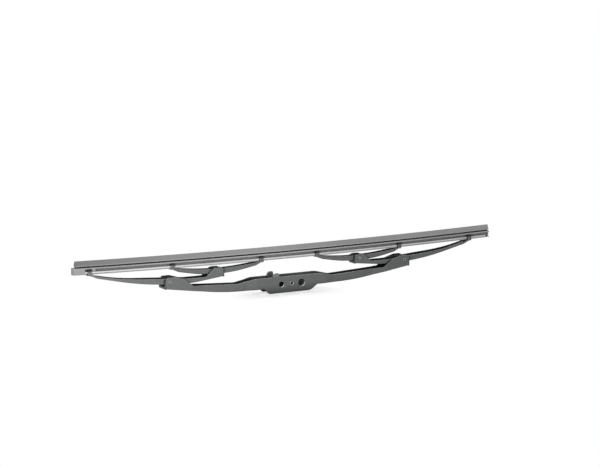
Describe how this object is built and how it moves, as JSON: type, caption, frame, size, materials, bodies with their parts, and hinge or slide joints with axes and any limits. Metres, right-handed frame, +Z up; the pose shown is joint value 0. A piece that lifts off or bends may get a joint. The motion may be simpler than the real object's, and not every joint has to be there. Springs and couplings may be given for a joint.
{
  "type": "wiper blade",
  "caption": "Frame wiper blade: a pressed steel bracket carries hinged yokes whose claws hold a curved rubber squeegee with spring strips.",
  "frame": {"origin": "on the axis of the centre rivet, midway between the plates of the main bracket", "axes": "+X along the blade, away from the closed end of the rubber; +Y across the blade; +Z up, towards the glass"},
  "size_m": [0.4019, 0.0142, 0.0422],
  "materials": {
    "painted_steel": "dark satin paint on pressed steel",
    "rivet_steel": "dark coated steel, worn lighter at the rims",
    "rubber": "matt grey-black rubber with a dusty bloom",
    "spring_steel": "bright rolled spring steel",
    "liner_plastic": "black moulded plastic",
    "adapter_plastic": "dark grey moulded plastic"
  },
  "bodies": {
    "frame": {"main_bracket": "painted_steel", "center_rivet": "rivet_steel", "yoke_rivet_left": "rivet_steel", "yoke_rivet_right": "rivet_steel", "yoke_liner_left": "liner_plastic", "yoke_liner_right": "liner_plastic", "squeegee": "rubber", "vertebra_front": "spring_steel", "vertebra_back": "spring_steel"},
    "yoke_left": {"yoke_left": "painted_steel", "small_yoke_rivet_left": "rivet_steel", "small_yoke_liner_left": "liner_plastic"},
    "yoke_right": {"yoke_right": "painted_steel", "small_yoke_rivet_right": "rivet_steel", "small_yoke_liner_right": "liner_plastic"},
    "small_yoke_left": {"small_yoke_left": "painted_steel"},
    "small_yoke_right": {"small_yoke_right": "painted_steel"},
    "adapter": {"arm_adapter": "adapter_plastic"}
  },
  "joints": [
    {"name": "yoke_left_pivot", "type": "hinge", "parent": "frame", "child": "yoke_left", "pos_m": [-0.113, 0, 0.01106], "axis": [0, 1, 0], "range_deg": [-1, 3], "stiffness_Nm_per_rad": 2, "deforming": ["squeegee", "vertebra_front", "vertebra_back"]},
    {"name": "yoke_right_pivot", "type": "hinge", "parent": "frame", "child": "yoke_right", "pos_m": [0.113, 0, 0.01106], "axis": [0, -1, 0], "range_deg": [-1, 3], "stiffness_Nm_per_rad": 2},
    {"name": "small_yoke_left_pivot", "type": "hinge", "parent": "yoke_left", "child": "small_yoke_left", "pos_m": [-0.06829, 0, 0.01593], "axis": [0, 1, 0], "range_deg": [-1.5, 0.5]},
    {"name": "small_yoke_right_pivot", "type": "hinge", "parent": "yoke_right", "child": "small_yoke_right", "pos_m": [0.06829, 0, 0.01593], "axis": [0, -1, 0], "range_deg": [-1.5, 0.5]},
    {"name": "adapter_pivot", "type": "hinge", "parent": "frame", "child": "adapter", "pos_m": [0, 0, 0], "axis": [0, 1, 0], "range_deg": [0, 30]}
  ],
  "couplings": [
    {"joint": "yoke_right_pivot", "follows": "yoke_left_pivot", "ratio": 1},
    {"joint": "small_yoke_left_pivot", "follows": "yoke_left_pivot", "ratio": -0.42},
    {"joint": "small_yoke_right_pivot", "follows": "yoke_left_pivot", "ratio": -0.42}
  ]
}
